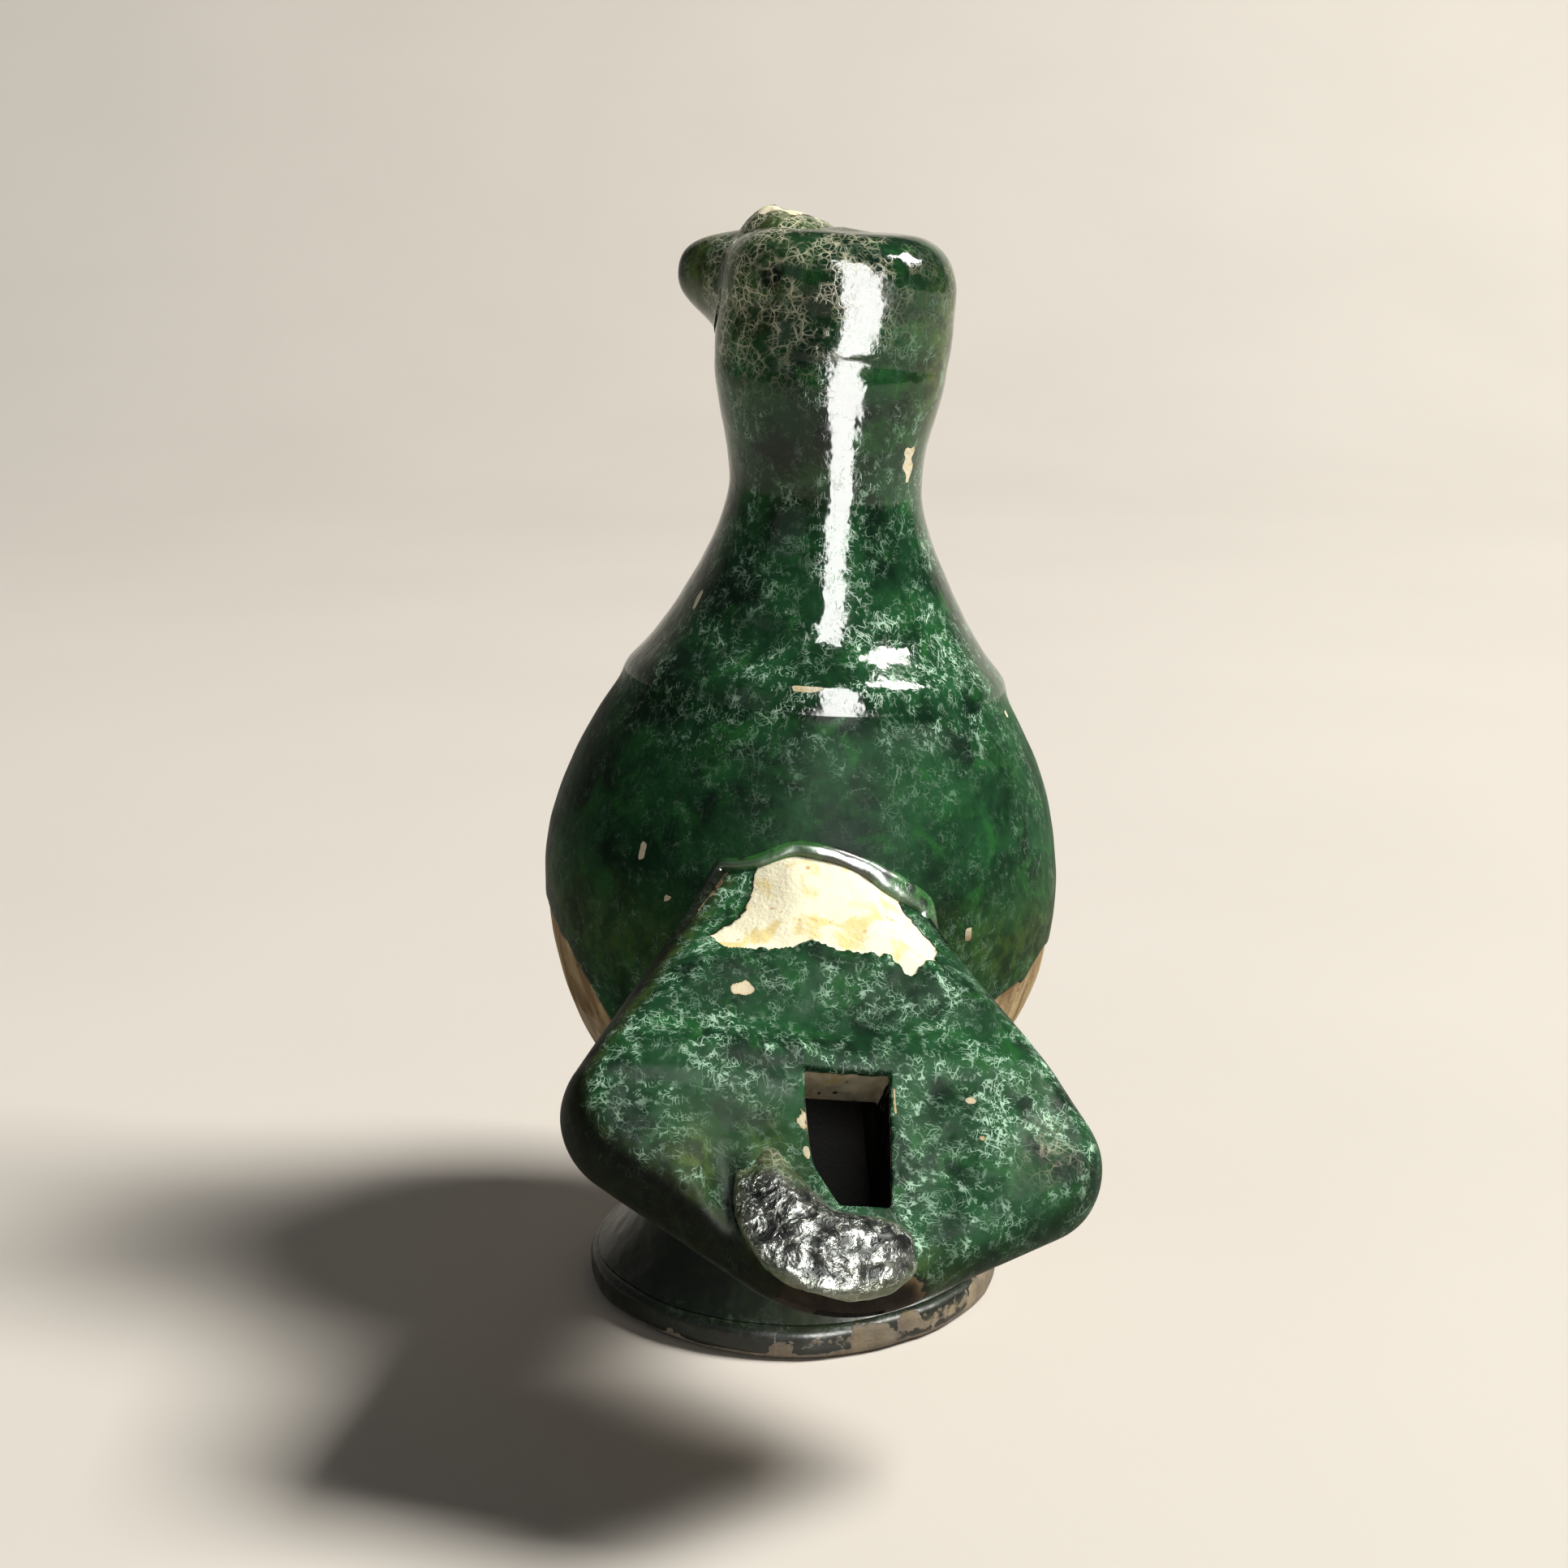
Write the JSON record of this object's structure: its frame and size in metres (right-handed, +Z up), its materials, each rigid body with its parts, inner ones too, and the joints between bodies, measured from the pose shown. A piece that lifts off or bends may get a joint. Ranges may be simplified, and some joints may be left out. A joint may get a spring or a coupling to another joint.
{
  "type": "ceramic bird whistle",
  "caption": "Hand-built earthenware bird whistle with a green lead glaze: hollow egg-shaped belly on a disc foot, tall neck, small beaked head and a kite-shaped tail that is the mouthpiece.",
  "frame": {"origin": "centre of the flat underside of the foot disc", "axes": "+Z up through the foot, +Y towards the breast, so the tail points to -Y, +X to the right as seen from the tail"},
  "size_m": [0.0482, 0.0789, 0.1016],
  "materials": {
    "green_glaze": "glossy copper-green lead glaze, crazed, with fine pale scratches",
    "pooled_glaze": "glossy brighter green glaze, pooled thick in the joint",
    "thin_glaze": "glossy olive-brown glaze, thin over buff clay, worn to the clay on the edges",
    "worn_glaze": "cream clay with the remains of a crackled green glaze",
    "metallic_glaze": "pewter-like metallic film on dark glaze, glossy and pitted",
    "bare_clay": "matt buff earthenware with runs of glaze"
  },
  "bodies": {
    "root": {"foot_disc": "thin_glaze", "waist_coil": "bare_clay", "belly_bowl": "bare_clay", "belly_dome": "green_glaze", "neck_tube": "green_glaze", "head": "green_glaze", "beak": "thin_glaze", "crest": "worn_glaze", "tail_roof": "green_glaze", "tail_floor": "thin_glaze", "windway_bridge": "metallic_glaze", "tail_root_coil": "pooled_glaze"}
  },
  "joints": []
}
